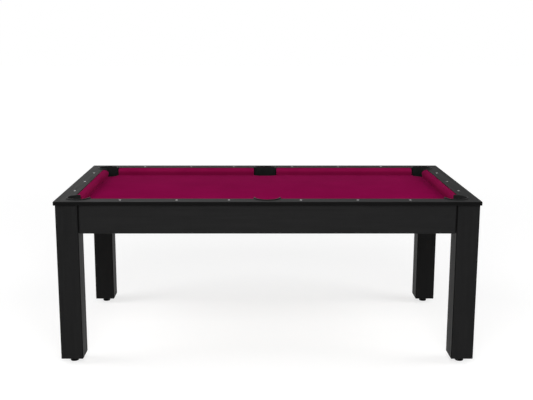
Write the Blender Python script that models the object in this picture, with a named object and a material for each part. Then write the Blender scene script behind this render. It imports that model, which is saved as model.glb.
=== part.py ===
"""A convertible pool table at dining height.

Units are metres and +Z is up. The origin is on the floor under the table's centre,
X runs along the table's length and the front long side faces -Y.
"""

import math

import bmesh
import bpy

# Overall size
TABLE_LENGTH = 1.980
TABLE_WIDTH = 1.080
LEG_LENGTH = 0.748
FOOT_CLEARANCE = 0.025

# Clearances between neighbours, and how far a cutter runs past what it cuts
FIT = 0.0003
OVERRUN = 0.010

# Legs and the aprons between them
LEG_WIDTH = 0.105
LEG_DEPTH = 0.115
LEG_EDGE = 0.0035
RAIL_OVERHANG = 0.008
APRON_SETBACK = 0.003
APRON_THICKNESS = 0.020
APRON_HEIGHT = 0.134
APRON_EDGE = 0.0015
SHADOW_GAP_WIDTH = 0.0045
SHADOW_GAP_DEPTH = 0.007

# Top rails: a flat board with a thicker inner part that stands on the bed
RAIL_WIDTH = 0.078
RAIL_THICKNESS = 0.018
RAIL_EDGE = 0.002
RAIL_CORNER_RADIUS = 0.006

# Playing bed and its cloth, under the top of the rails
BED_DROP = 0.040
BED_THICKNESS = 0.019
CLOTH_THICKNESS = 0.001
CLOTH_INSET = 0.001
BEAM_WIDTH = 0.045
BEAM_HEIGHT = 0.070
BEAM_EDGE = 0.002
BEAM_PLACE_SHARES = (-0.58, -0.19, 0.19, 0.58)

# Cushion section, measured inwards from the rail's inner edge
CUSHION_REACH = 0.032
CUSHION_FOOT = 0.028
NOSE_HEIGHT = 0.020
NOSE_RADIUS = 0.016
CUSHION_CROWN = 0.0012
CUSHION_TOP_DROP = 0.0005

# Pockets: their centres lie inwards of the rail's inner edge
CORNER_POCKET_INSET = 0.023
CORNER_POCKET_RADIUS = 0.050
MIDDLE_POCKET_INSET = 0.022
MIDDLE_POCKET_RADIUS = 0.056
MIDDLE_FRONT_RADIUS = 0.100
MIDDLE_FRONT_REACH = 0.020
CUP_DEPTH = 0.078
CUP_WALL = 0.003
CUP_FILLET = 0.014
COLLAR_WIDTH = 0.008
COLLAR_RISE = 0.004
COLLAR_EDGE = 0.0025
CUP_CLEARANCE = 0.001

# Sights: small inlaid discs, placed as shares of the half playing length and width
SIGHT_RADIUS = 0.0055
SIGHT_THICKNESS = 0.002
SIGHT_EDGE = 0.0004
SIGHT_INSET = 0.048
LONG_SIGHT_SHARES = (-0.780, -0.480, -0.203, 0.177, 0.478, 0.755)
END_SIGHT_SHARES = (-0.600, 0.010, 0.640)

# Bent steel plates that hold the legs to the aprons
BRACKET_HEIGHT = 0.028
BRACKET_THICKNESS = 0.003
BRACKET_FLANGE = 0.032

# Levelling feet: a round pad that slides with a threaded stud
PAD_RADIUS = 0.020
PAD_SIDE = 0.009
PAD_EDGE = 0.0015
PAD_NECK_RADIUS = 0.009
PAD_HEIGHT = 0.014
PAD_SOCKET_DEPTH = 0.006
STUD_RADIUS = 0.005
STUD_PIN_RADIUS = 0.004
STUD_LENGTH = 0.046
HEX_RADIUS = 0.0098
HEX_HEIGHT = 0.005
THREAD_CLEARANCE = 0.0005
STUD_HOLE_SPARE = 0.012

# How finely round shapes are divided
POCKET_SIDES = 32
POCKET_BACK_SIDES = 20
FILLET_STEPS = 3
NOSE_STEPS = 8
CROWN_STEPS = 3
SIGHT_SIDES = 16
PAD_SIDES = 24
STUD_SIDES = 16
HEX_SIDES = 6
CORNER_STEPS = 3
EDGE_STEPS = 2

# Levels above the floor
LEG_TOP = FOOT_CLEARANCE + LEG_LENGTH
RAIL_BOTTOM = LEG_TOP + FIT
RAIL_TOP = RAIL_BOTTOM + RAIL_THICKNESS
CLOTH_TOP = RAIL_TOP - BED_DROP
CLOTH_BOTTOM = CLOTH_TOP - CLOTH_THICKNESS
BED_TOP = CLOTH_BOTTOM - FIT
BED_BOTTOM = BED_TOP - BED_THICKNESS
APRON_BOTTOM = LEG_TOP - APRON_HEIGHT
CUP_FLOOR = CLOTH_TOP - CUP_DEPTH
CUP_BOTTOM = CUP_FLOOR - CUP_WALL
COLLAR_TOP = RAIL_TOP + COLLAR_RISE

# Places along X and Y, measured from the table's centre
HALF_LENGTH = TABLE_LENGTH / 2
HALF_WIDTH = TABLE_WIDTH / 2
LEG_OUTER_X = HALF_LENGTH - RAIL_OVERHANG
LEG_OUTER_Y = HALF_WIDTH - RAIL_OVERHANG
LEG_INNER_X = LEG_OUTER_X - LEG_WIDTH
LEG_INNER_Y = LEG_OUTER_Y - LEG_DEPTH
APRON_OUTER_X = LEG_OUTER_X - APRON_SETBACK
APRON_OUTER_Y = LEG_OUTER_Y - APRON_SETBACK
APRON_INNER_X = APRON_OUTER_X - APRON_THICKNESS
APRON_INNER_Y = APRON_OUTER_Y - APRON_THICKNESS
RAIL_INNER_X = HALF_LENGTH - RAIL_WIDTH
RAIL_INNER_Y = HALF_WIDTH - RAIL_WIDTH
NOSE_X = RAIL_INNER_X - CUSHION_REACH
NOSE_Y = RAIL_INNER_Y - CUSHION_REACH
CORNER_X = RAIL_INNER_X - CORNER_POCKET_INSET
CORNER_Y = RAIL_INNER_Y - CORNER_POCKET_INSET
MIDDLE_Y = RAIL_INNER_Y - MIDDLE_POCKET_INSET
FOOT_X = (LEG_OUTER_X + LEG_INNER_X) / 2
FOOT_Y = (LEG_OUTER_Y + LEG_INNER_Y) / 2

SIDES = {"left": -1, "right": 1}
ENDS = {"front": -1, "back": 1}

# Colour, roughness and metallic value of each material
FINISHES = {
    "black_laminate": ((0.020, 0.020, 0.020), 0.42, 0.0),
    "black_plastic": ((0.010, 0.010, 0.011), 0.35, 0.0),
    "red_cloth": ((0.195, 0.004, 0.050), 0.95, 0.0),
    "bed_board": ((0.330, 0.240, 0.160), 0.80, 0.0),
    "beam_wood": ((0.520, 0.370, 0.220), 0.75, 0.0),
    "zinc_steel": ((0.550, 0.560, 0.570), 0.35, 1.0),
    "silver_inlay": ((0.600, 0.600, 0.610), 0.30, 1.0),
}


def clear_scene():
    for thing in list(bpy.data.objects):
        bpy.data.objects.remove(thing)


def make_materials():
    made = {}
    for name, (colour, roughness, metallic) in FINISHES.items():
        finish = bpy.data.materials.new(name)
        finish.use_nodes = True
        shader = finish.node_tree.nodes["Principled BSDF"]
        shader.inputs["Base Color"].default_value = (*colour, 1.0)
        shader.inputs["Roughness"].default_value = roughness
        shader.inputs["Metallic"].default_value = metallic
        made[name] = finish
    return made


def add_object(name, shape, finish=None):
    """Turn a bmesh into an object, with its faces pointing out."""
    bmesh.ops.recalc_face_normals(shape, faces=shape.faces)
    mesh = bpy.data.meshes.new(name)
    shape.to_mesh(mesh)
    shape.free()
    thing = bpy.data.objects.new(name, mesh)
    bpy.context.scene.collection.objects.link(thing)
    if finish:
        mesh.materials.append(MATERIALS[finish])
    else:
        thing.hide_render = True
        thing.display_type = "WIRE"
    return thing


def smooth(thing):
    thing.data.shade_smooth()
    thing.data.set_sharp_from_angle(angle=math.radians(35))


def skin(loops):
    """Join loops of points, given as (x, y, z), and close the first and the last."""
    shape = bmesh.new()
    rows = [[shape.verts.new(point) for point in loop] for loop in loops]
    for low, high in zip(rows, rows[1:]):
        for index, corner in enumerate(low):
            shape.faces.new((corner, low[index - 1], high[index - 1], high[index]))
    shape.faces.new(rows[0])
    shape.faces.new(reversed(rows[-1]))
    return shape


def prism(outline, low, high):
    """Extrude an outline of (x, y) points from one height to another."""
    return skin([[(x, y, z) for x, y in outline] for z in (low, high)])


def rectangle(low_x, low_y, high_x, high_y):
    return [(low_x, low_y), (high_x, low_y), (high_x, high_y), (low_x, high_y)]


def circle(radius, sides, centre=(0, 0)):
    turns = [2 * math.pi * step / sides for step in range(sides)]
    return [(centre[0] + radius * math.cos(turn), centre[1] + radius * math.sin(turn))
            for turn in turns]


def arc(centre, radius, start, end, steps):
    """Points on an arc, from the start angle to the end angle in radians."""
    turns = [start + (end - start) * step / steps for step in range(steps + 1)]
    return [(centre[0] + radius * math.cos(turn), centre[1] + radius * math.sin(turn))
            for turn in turns]


def lathe(profile, sides, centre):
    """Turn a profile of (radius, height) points about a vertical line."""
    return skin([[(x, y, height) for x, y in circle(radius, sides, centre)]
                 for radius, height in profile])


def bevel(thing, width, steps=EDGE_STEPS):
    modifier = thing.modifiers.new("rounded edges", "BEVEL")
    modifier.width = width
    modifier.segments = steps
    modifier.limit_method = "ANGLE"


def combine(thing, other, operation="DIFFERENCE"):
    modifier = thing.modifiers.new(operation.lower(), "BOOLEAN")
    modifier.operation = operation
    modifier.object = other


def flipped(outline, side_x, side_y):
    """Move an outline from the back right quarter to another quarter."""
    return [(x * side_x, y * side_y) for x, y in outline]


def pocket_outline(pocket, offset, fully_round=False):
    """The pocket's inner outline, grown by an offset, around the pocket's centre.

    A corner pocket is round. A middle pocket is round behind and shallow in front,
    where a flatter arc cuts it unless the full round is asked for; +Y points away from
    the playing area.
    """
    if pocket["side_x"]:
        return circle(CORNER_POCKET_RADIUS + offset, POCKET_SIDES)
    back = MIDDLE_POCKET_RADIUS + offset
    front = MIDDLE_FRONT_RADIUS + offset
    apart = MIDDLE_FRONT_RADIUS - MIDDLE_FRONT_REACH
    meet_y = (back ** 2 - front ** 2 + apart ** 2) / (2 * apart)
    meet_x = math.sqrt(back ** 2 - meet_y ** 2)
    start = math.atan2(meet_y, meet_x)
    rear = arc((0, 0), back, start, math.pi - start, POCKET_BACK_SIDES)
    front_sides = POCKET_SIDES - POCKET_BACK_SIDES
    if fully_round:
        fore = arc((0, 0), back, math.pi - start, 2 * math.pi + start, front_sides)
    else:
        front_end = math.atan2(meet_y - apart, meet_x)
        fore = arc((0, apart), front, -math.pi - front_end, front_end, front_sides)
    return rear + fore[1:-1]


def placed_outline(pocket, offset, fully_round=False):
    """A pocket's outline in its place on the table."""
    return [(pocket["x"] + x, pocket["y"] + y * pocket["side_y"])
            for x, y in pocket_outline(pocket, offset, fully_round)]


def list_pockets():
    """Each pocket's name, centre and the way it faces, with its round cutter."""
    pockets = {}
    for end_name, side_y in ENDS.items():
        for side_name, side_x in (*SIDES.items(), ("middle", 0)):
            name = f"{end_name}_{side_name}"
            centre_y = CORNER_Y if side_x else MIDDLE_Y
            pocket = {"x": CORNER_X * side_x, "y": centre_y * side_y,
                      "side_x": side_x, "side_y": side_y}
            pocket["collar_cutter"] = add_object(
                f"cutter_collar_{name}",
                prism(placed_outline(pocket, COLLAR_WIDTH + FIT, fully_round=True),
                      CUP_BOTTOM - CUP_CLEARANCE, COLLAR_TOP + OVERRUN))
            pocket["bed_cutter"] = add_object(
                f"cutter_bed_{name}",
                prism(placed_outline(pocket, CUP_WALL + FIT),
                      BED_BOTTOM - OVERRUN, CLOTH_TOP + OVERRUN))
            pockets[name] = pocket
    return pockets


def cut_pockets(thing, pockets, cutter, names):
    for name in names:
        combine(thing, pockets[name][cutter])


def add_leg(name, side_x, side_y, pocket):
    outline = rectangle(LEG_INNER_X, LEG_INNER_Y, LEG_OUTER_X, LEG_OUTER_Y)
    leg = add_object(f"leg_{name}",
                     prism(flipped(outline, side_x, side_y), FOOT_CLEARANCE, LEG_TOP),
                     "black_laminate")
    bevel(leg, LEG_EDGE)
    combine(leg, pocket["collar_cutter"])
    hole = circle(STUD_RADIUS + THREAD_CLEARANCE, STUD_SIDES,
                  (FOOT_X * side_x, FOOT_Y * side_y))
    hole_top = PAD_HEIGHT + FIT + HEX_HEIGHT + STUD_LENGTH + STUD_HOLE_SPARE
    combine(leg, add_object(f"cutter_stud_{name}",
                            prism(hole, FOOT_CLEARANCE - OVERRUN, hole_top)))


def add_foot(name, side_x, side_y):
    """A swivelling pad with a blind socket, and the threaded stud that turns in it."""
    centre = (FOOT_X * side_x, FOOT_Y * side_y)
    pad_profile = [(PAD_RADIUS - PAD_EDGE, 0), (PAD_RADIUS, PAD_EDGE),
                   (PAD_RADIUS, PAD_SIDE - PAD_EDGE), (PAD_RADIUS - PAD_EDGE, PAD_SIDE),
                   (PAD_NECK_RADIUS + PAD_EDGE, PAD_HEIGHT - PAD_EDGE),
                   (PAD_NECK_RADIUS, PAD_HEIGHT)]
    socket_radius = STUD_PIN_RADIUS + FIT
    socket_floor = PAD_HEIGHT - PAD_SOCKET_DEPTH
    pad_profile += [(socket_radius, PAD_HEIGHT), (socket_radius, socket_floor)]
    pad = add_object(f"foot_pad_{name}", lathe(pad_profile, PAD_SIDES, centre),
                     "black_plastic")
    smooth(pad)

    hex_bottom = PAD_HEIGHT + FIT
    hex_top = hex_bottom + HEX_HEIGHT
    stud_top = hex_top + STUD_LENGTH
    stud_profile = [(STUD_PIN_RADIUS, socket_floor + FIT), (STUD_PIN_RADIUS, hex_top - FIT),
                    (STUD_RADIUS, hex_top - FIT), (STUD_RADIUS, stud_top - PAD_EDGE),
                    (STUD_RADIUS - PAD_EDGE, stud_top)]
    stud = add_object(f"foot_stud_{name}", lathe(stud_profile, STUD_SIDES, centre),
                      "zinc_steel")
    collar = add_object(f"joined_hex_{name}",
                        prism(circle(HEX_RADIUS, HEX_SIDES, centre), hex_bottom, hex_top))
    combine(stud, collar, "UNION")
    smooth(stud)


def add_bracket(name, side_x, side_y):
    """A bent plate across the corner, with a flange along each apron."""
    touch = LEG_INNER_X + LEG_INNER_Y - FIT * math.sqrt(2)
    inner = touch - BRACKET_THICKNESS * math.sqrt(2)
    far_x = APRON_INNER_X - FIT
    far_y = APRON_INNER_Y - FIT
    near_x = far_x - BRACKET_THICKNESS
    near_y = far_y - BRACKET_THICKNESS
    outline = [(touch - far_y - BRACKET_FLANGE, far_y),
               (touch - far_y - BRACKET_FLANGE, near_y),
               (inner - near_y, near_y), (near_x, inner - near_x),
               (near_x, touch - far_x - BRACKET_FLANGE),
               (far_x, touch - far_x - BRACKET_FLANGE),
               (far_x, touch - far_x), (touch - far_y, far_y)]
    top = CUP_BOTTOM - CUP_CLEARANCE
    add_object(f"leg_bracket_{name}",
               prism(flipped(outline, side_x, side_y), top - BRACKET_HEIGHT, top),
               "zinc_steel")


def apron_outline(reach, inner, outer):
    """A board along the first coordinate whose face stops at a shadow gap by each leg."""
    face = reach - SHADOW_GAP_WIDTH
    recess = outer - SHADOW_GAP_DEPTH
    end = [(reach, inner), (reach, recess), (face, recess), (face, outer)]
    return end + [(-x, y) for x, y in reversed(end)]


def add_aprons(pockets):
    for name, side in ENDS.items():
        outline = apron_outline(LEG_INNER_X - FIT, APRON_INNER_Y, APRON_OUTER_Y)
        apron = add_object(f"apron_{name}",
                           prism(flipped(outline, 1, side), APRON_BOTTOM, LEG_TOP),
                           "black_laminate")
        bevel(apron, APRON_EDGE)
        cut_pockets(apron, pockets, "collar_cutter",
                    [key for key in pockets if key.startswith(name)])
    for name, side in SIDES.items():
        outline = [(x, y) for y, x in
                   apron_outline(LEG_INNER_Y - FIT, APRON_INNER_X, APRON_OUTER_X)]
        apron = add_object(f"apron_{name}",
                           prism(flipped(outline, side, 1), APRON_BOTTOM, LEG_TOP),
                           "black_laminate")
        bevel(apron, APRON_EDGE)
        cut_pockets(apron, pockets, "collar_cutter",
                    [key for key in pockets if key.endswith(name)])


def edge_rounding(low, high):
    """The (inset, height) steps of a board whose outer edges are rounded."""
    radius = RAIL_EDGE
    return (arc((radius, low + radius), radius,
                math.radians(270), math.radians(180), EDGE_STEPS)
            + arc((radius, high - radius), radius,
                  math.radians(180), math.radians(90), EDGE_STEPS))


def rail_board(outer, half_run, inner, inset):
    """Outline of a mitred rail board along the first coordinate.

    Its outer edge is at the second coordinate, less the inset, and turns the table's
    rounded corner as far as the mitre.
    """
    mitre_gap = FIT * math.sqrt(2) / 2
    radius = RAIL_CORNER_RADIUS
    round_end = arc((half_run - radius, outer - radius), radius - inset,
                    math.radians(45), math.radians(90), CORNER_STEPS)
    inner_end = half_run - (outer - inner)
    tip = [(x - mitre_gap, y) for x, y in [(inner_end, inner), *round_end]]
    return tip + [(-x, y) for x, y in reversed(tip)]


def add_rail(name, loops, block, pockets, sight_places):
    """A rail: the flat board, the block under it and the recesses in its top."""
    rail = add_object(f"rail_{name}", skin(loops), "black_laminate")
    under = add_object(f"joined_block_{name}",
                       prism(block, CLOTH_TOP + FIT, RAIL_BOTTOM + RAIL_EDGE))
    combine(rail, under, "UNION")
    cut_pockets(rail, pockets, "collar_cutter",
                [key for key in pockets if name in key.split("_")])
    for index, place in enumerate(sight_places, start=1):
        recess = add_object(f"cutter_sight_{name}_{index}",
                            prism(circle(SIGHT_RADIUS + FIT, SIGHT_SIDES, place),
                                  RAIL_TOP - SIGHT_THICKNESS - FIT, RAIL_TOP + OVERRUN))
        combine(rail, recess)
        add_sight(f"sight_{name}_{index}", place)


def add_sight(name, place):
    top = RAIL_TOP
    profile = [(SIGHT_RADIUS, top - SIGHT_THICKNESS), (SIGHT_RADIUS, top - SIGHT_EDGE),
               (SIGHT_RADIUS - SIGHT_EDGE, top)]
    sight = add_object(name, lathe(profile, SIGHT_SIDES, place), "silver_inlay")
    smooth(sight)


def add_rails(pockets):
    steps = edge_rounding(RAIL_BOTTOM, RAIL_TOP)
    block_x = LEG_INNER_X - FIT
    block_y = LEG_INNER_Y - FIT
    for name, side in ENDS.items():
        loops = [[(x, y * side, height) for x, y in
                  rail_board(HALF_WIDTH, HALF_LENGTH, RAIL_INNER_Y, inset)]
                 for inset, height in steps]
        block = rectangle(-block_x, RAIL_INNER_Y, block_x, APRON_INNER_Y - FIT)
        places = [(share * NOSE_X, side * (HALF_WIDTH - SIGHT_INSET))
                  for share in LONG_SIGHT_SHARES]
        add_rail(name, loops, flipped(block, 1, side), pockets, places)
    for name, side in SIDES.items():
        loops = [[(x * side, y, height) for y, x in
                  rail_board(HALF_LENGTH, HALF_WIDTH, RAIL_INNER_X, inset)]
                 for inset, height in steps]
        block = rectangle(RAIL_INNER_X, -block_y, APRON_INNER_X - FIT, block_y)
        places = [(side * (HALF_LENGTH - SIGHT_INSET), share * NOSE_Y)
                  for share in END_SIGHT_SHARES]
        add_rail(name, loops, flipped(block, side, 1), pockets, places)


def cushion_section():
    """The cushion's outline as (distance from the rail's edge, height) points."""
    foot = CLOTH_TOP + FIT
    top = RAIL_TOP - CUSHION_TOP_DROP
    nose = (CUSHION_REACH - NOSE_RADIUS, CLOTH_TOP + NOSE_HEIGHT)
    under = math.atan2(foot - nose[1], CUSHION_FOOT - nose[0])
    low_turn = under + math.acos(NOSE_RADIUS / math.dist(nose, (CUSHION_FOOT, foot)))
    over = math.atan2(top - nose[1], FIT - nose[0])
    high_turn = over - math.acos(NOSE_RADIUS / math.dist(nose, (FIT, top)))
    rounded = arc(nose, NOSE_RADIUS, low_turn, high_turn, NOSE_STEPS)
    last_x, last_z = rounded[-1]
    crown = []
    for step in range(1, CROWN_STEPS):
        along = step / CROWN_STEPS
        lift = CUSHION_CROWN * 4 * along * (1 - along)
        crown.append((last_x + (FIT - last_x) * along,
                      last_z + (top - last_z) * along + lift))
    return [(FIT, foot), (CUSHION_FOOT, foot), *rounded, *crown, (FIT, top)]


def add_cushion(name, start, end, along_x, side, pockets, cut_by):
    """A cushion along X or Y, whose ends follow the pockets that cut it."""
    section = cushion_section()
    loops = []
    for place in (start, end):
        if along_x:
            loops.append([(place, side * (RAIL_INNER_Y - reach), height)
                          for reach, height in section])
        else:
            loops.append([(side * (RAIL_INNER_X - reach), place, height)
                          for reach, height in section])
    cushion = add_object(f"cushion_{name}", skin(loops), "red_cloth")
    smooth(cushion)
    cut_pockets(cushion, pockets, "collar_cutter", cut_by)


def add_cushions(pockets):
    for end_name, side_y in ENDS.items():
        for side_name, side_x in SIDES.items():
            name = f"{end_name}_{side_name}"
            add_cushion(name, side_x * MIDDLE_POCKET_RADIUS / 2,
                        side_x * (CORNER_X - CORNER_POCKET_RADIUS / 2), True, side_y,
                        pockets, [name, f"{end_name}_middle"])
    for side_name, side_x in SIDES.items():
        reach = CORNER_Y - CORNER_POCKET_RADIUS / 2
        add_cushion(side_name, -reach, reach, False, side_x, pockets,
                    [f"{end_name}_{side_name}" for end_name in ENDS])


def add_bed(pockets):
    """The board under the cloth and the cloth on it, both cut for legs and pockets."""
    layers = (("bed", BED_BOTTOM, BED_TOP, FIT, "bed_board"),
              ("bed_cloth", CLOTH_BOTTOM, CLOTH_TOP, FIT + CLOTH_INSET, "red_cloth"))
    for name, low, high, inset, finish in layers:
        far_x, far_y = APRON_INNER_X - inset, APRON_INNER_Y - inset
        near_x, near_y = LEG_INNER_X - inset, LEG_INNER_Y - inset
        quarter = [(far_x, near_y), (near_x, near_y), (near_x, far_y)]
        outline = (quarter + flipped(reversed(quarter), -1, 1)
                   + flipped(quarter, -1, -1) + flipped(reversed(quarter), 1, -1))
        board = add_object(name, prism(outline, low, high), finish)
        cut_pockets(board, pockets, "bed_cutter", pockets)


def add_beams():
    reach = APRON_INNER_Y - FIT
    for index, share in enumerate(BEAM_PLACE_SHARES, start=1):
        place = share * APRON_INNER_X
        outline = rectangle(place - BEAM_WIDTH / 2, -reach, place + BEAM_WIDTH / 2, reach)
        beam = add_object(f"bed_beam_{index}",
                          prism(outline, BED_BOTTOM - FIT - BEAM_HEIGHT, BED_BOTTOM - FIT),
                          "beam_wood")
        bevel(beam, BEAM_EDGE, 1)


def add_pocket_liner(name, pocket):
    """A cup below the bed, and a thicker collar round it that ends at the mouth."""
    collar_low = CLOTH_TOP + FIT
    outside = [(CUP_WALL - CUP_FILLET, CUP_BOTTOM)]
    outside += arc((CUP_WALL - CUP_FILLET, CUP_BOTTOM + CUP_FILLET), CUP_FILLET,
                   math.radians(-90), 0, FILLET_STEPS)[1:]
    outside += [(CUP_WALL, collar_low), (COLLAR_WIDTH, collar_low)]
    outside += arc((COLLAR_WIDTH - COLLAR_EDGE, COLLAR_TOP - COLLAR_EDGE), COLLAR_EDGE,
                   0, math.radians(90), FILLET_STEPS)
    inside = arc((COLLAR_EDGE, COLLAR_TOP - COLLAR_EDGE), COLLAR_EDGE,
                 math.radians(90), math.radians(180), FILLET_STEPS)
    inner_fillet = CUP_FILLET - CUP_WALL
    inside += arc((-inner_fillet, CUP_FLOOR + inner_fillet), inner_fillet,
                  0, math.radians(-90), FILLET_STEPS)
    loops = [[(x, y, height) for x, y in placed_outline(pocket, offset)]
             for offset, height in outside + inside]
    liner = add_object(f"pocket_liner_{name}", skin(loops), "black_plastic")
    smooth(liner)

    reach = MIDDLE_POCKET_RADIUS + COLLAR_WIDTH + OVERRUN
    far_x = pocket["x"] if pocket["side_x"] else reach
    near_x = 0 if pocket["side_x"] else -reach
    mouth = rectangle(near_x, 0, far_x, pocket["y"])
    combine(liner, add_object(f"cutter_mouth_{name}",
                              prism(mouth, CLOTH_TOP, COLLAR_TOP + OVERRUN)))


def build():
    pockets = list_pockets()
    for end_name, side_y in ENDS.items():
        for side_name, side_x in SIDES.items():
            name = f"{end_name}_{side_name}"
            add_leg(name, side_x, side_y, pockets[name])
            add_foot(name, side_x, side_y)
            add_bracket(name, side_x, side_y)
    add_aprons(pockets)
    add_rails(pockets)
    add_bed(pockets)
    add_beams()
    add_cushions(pockets)
    for name, pocket in pockets.items():
        add_pocket_liner(name, pocket)


clear_scene()
MATERIALS = make_materials()
build()
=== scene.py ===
import math

import bmesh
import bpy
from mathutils import Euler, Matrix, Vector


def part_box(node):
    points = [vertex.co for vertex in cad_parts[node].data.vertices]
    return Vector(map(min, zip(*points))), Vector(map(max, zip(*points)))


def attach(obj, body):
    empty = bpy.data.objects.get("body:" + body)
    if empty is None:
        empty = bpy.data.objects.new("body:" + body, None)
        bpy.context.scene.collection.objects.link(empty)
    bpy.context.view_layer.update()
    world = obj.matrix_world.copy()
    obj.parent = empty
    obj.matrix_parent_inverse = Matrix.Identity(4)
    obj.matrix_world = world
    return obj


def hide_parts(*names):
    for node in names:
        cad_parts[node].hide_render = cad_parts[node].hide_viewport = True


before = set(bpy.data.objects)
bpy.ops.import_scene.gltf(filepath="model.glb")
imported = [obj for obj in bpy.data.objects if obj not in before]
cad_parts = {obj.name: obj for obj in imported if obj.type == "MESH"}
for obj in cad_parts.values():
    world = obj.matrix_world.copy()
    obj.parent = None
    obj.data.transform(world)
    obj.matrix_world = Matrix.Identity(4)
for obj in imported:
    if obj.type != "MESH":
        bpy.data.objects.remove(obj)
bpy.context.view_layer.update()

# Levels and places of the table, as its solids have them
CLOTH_TOP = 0.7513
RAIL_TOP = 0.7913
RAIL_INNER_X = 0.912
RAIL_INNER_Y = 0.462
APRON_INNER_X = 0.959
APRON_INNER_Y = 0.509
LEG_INNER_X = 0.877
LEG_INNER_Y = 0.417
FOOT_X = 0.9295
FOOT_Y = 0.4745
FIT = 0.0003
WELD_DISTANCE = 0.000005

# Cushion section, measured inwards from the rail's inner edge
CUSHION_REACH = 0.032
CUSHION_FOOT = 0.028
NOSE_HEIGHT = 0.020
NOSE_RADIUS = 0.016
CUSHION_CROWN = 0.0012
CUSHION_TOP_DROP = 0.0005
CUSHION_END_RADIUS = 0.0018
CUSHION_END_STEPS = 4
CUSHION_ROUND_ABOVE = 40
CUSHION_SHARP_ABOVE = 50
CUSHION_TOP_STEPS = 12
CUSHION_TOP_CROWDING = 1.6
TUCK_WIDTH = 0.0075
TUCK_DEPTH = 0.0024
CUSHION_NOSE_STEPS = 16
CUSHION_SPANS = 28

# Bed cloth
CLOTH_THICKNESS = 0.001
CLOTH_INSET = 0.001
CLOTH_EDGE = 0.0003
CLOTH_EDGE_STEPS = 2

# Pockets
CORNER_X = 0.889
CORNER_Y = 0.439
CORNER_RADIUS = 0.050
MIDDLE_Y = 0.440
MIDDLE_RADIUS = 0.056
MIDDLE_FRONT_RADIUS = 0.100
MIDDLE_FRONT_REACH = 0.020
MIDDLE_CORNER_SOFTNESS = 0.003
CUP_FLOOR = 0.6733
CUP_WALL = 0.003
CUP_FILLET = 0.014
COLLAR_WIDTH = 0.008
COLLAR_TOP = 0.7953
COLLAR_EDGE = 0.0025
ARM_END_RADIUS = 0.003
LIP_DROP = 0.0003
LIP_SIDE_SHARES = (0.7, 0.9)
ARM_END_STEPS = 5
COLLAR_ANGLE_STEP = math.radians(3)
MOUTH_ANGLE_STEP = math.radians(2)
FILLET_STEPS = 6
RIM_STEPS = 4
HOLE_SIDES = 120

# Sights
SIGHT_RADIUS = 0.0055
SIGHT_THICKNESS = 0.002
SIGHT_EDGE = 0.0006
SIGHT_EDGE_TURN = 75
SIGHT_EDGE_STEPS = 4
SIGHT_DOME = 0.00012
SIGHT_DOME_SHARES = (0.78, 0.6, 0.4, 0.2, 0.05)
SIGHT_SIDES = 48

# Levelling feet: points of the pad are (radius, height)
PAD_SIDES = 64
PAD_FACE_RADIUS = 0.0165
PAD_EDGE = 0.0020
PAD_EDGE_STEPS = 4
PAD_LOW_EDGE_CENTRE = (0.0180, 0.0020)
PAD_HIGH_EDGE_CENTRE = (0.0180, 0.0070)
PAD_HIGH_EDGE_TURN = 70
PAD_SLOPE_END = (0.0120, 0.0112)
PAD_HOLLOW_CENTRE = (0.0115, 0.0132)
PAD_HOLLOW_TURNS = (180, 260)
PAD_NECK_AND_SOCKET = ((0.0090, 0.0134), (0.0084, 0.0140), (0.0044, 0.0140),
                       (0.0043, 0.0081))
HEX_SIDES = 6
HEX_CHAMFER = 0.0008
HEX_ACROSS_CORNERS = 0.0196
HEX_BOTTOM = 0.0143
HEX_TOP = 0.0193
PIN_RADIUS = 0.004
PIN_BOTTOM = 0.0083
STUD_TOP = 0.0653
STUD_SHARP_ABOVE = 28
THREAD_RADIUS = 0.005
THREAD_DEPTH = 0.0009
THREAD_PITCH = 0.0015
THREAD_CHAMFER = 0.0012
THREAD_SIDES = 28
THREAD_STEPS_PER_TURN = 5

# Leg plates and what fastens them; the screws' places count from the plate's bend
PLATE_THICKNESS = 0.003
PLATE_MIDDLE = 0.6553
WASHER_RADIUS = 0.0085
WASHER_THICKNESS = 0.0016
WASHER_CHAMFER = 0.0003
WASHER_SIDES = 40
NUT_RADIUS = 0.0075
NUT_THICKNESS = 0.0062
NUT_CHAMFER = 0.0006
NUT_TURN = 0.5
BOLT_RADIUS = 0.004
BOLT_END = 0.0120
BOLT_CHAMFER = 0.001
BOLT_OVERLAP = 0.001
BOLT_SIDES = 24
SCREW_HEAD_RADIUS = 0.0042
SCREW_HEAD_HEIGHT = 0.0024
SCREW_HEAD_TURNS = (0.35, 0.7, 1.05, 1.35)
SCREW_RECESS = ((0.0012, 0.0001), (0.0011, 0.0011))
SCREW_SIDES = 24
SCREW_PLACES = (0.0085, 0.0235)

# Gloss of the laminate and the plastic, how much darker edge bands are,
# how much painted shade darkens the rounded upright edges, how much pebbled relief the rails
# have, and how much green the cushions' cloth gains as a painted sheen
LEG_GLOSS = 0.046
APRON_GLOSS = 0.070
RAIL_GLOSS = 0.054
PAINTED_EDGE_SHADE = 0.75
PEBBLE_SHARE = 3.0
PLASTIC_GLOSS = 0.05
EDGE_BAND_TINT = 0.70
# Painted sheen: how much the green of the cushions' cloth is raised
CUSHION_PAINTED_SHEEN_GREEN = 3.4

# Tones of the materials in linear light, in the order of each one's pattern
LAMINATE_TONES = ((0.0094, 0.0094, 0.0096), (0.0126, 0.0126, 0.0127))
PLASTIC_TONES = ((0.0085, 0.0087, 0.0087), (0.0124, 0.0126, 0.0126))
CLOTH_TONES = ((0.142, 0.0006, 0.032), (0.182, 0.0012, 0.043), (0.223, 0.0026, 0.056))
CLOTH_SHEEN_TINT = (0.60, 0.045, 0.20, 1.0)
BOARD_TONES = ((0.215, 0.150, 0.092), (0.330, 0.240, 0.158), (0.430, 0.325, 0.225))
WOOD_TONES = ((0.560, 0.400, 0.235), (0.520, 0.355, 0.195), (0.385, 0.225, 0.105))
ZINC_TONES = ((0.480, 0.500, 0.520), (0.560, 0.570, 0.575), (0.590, 0.575, 0.520))
ALUMINIUM_TONES = ((0.840, 0.840, 0.845), (0.930, 0.930, 0.935))

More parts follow.
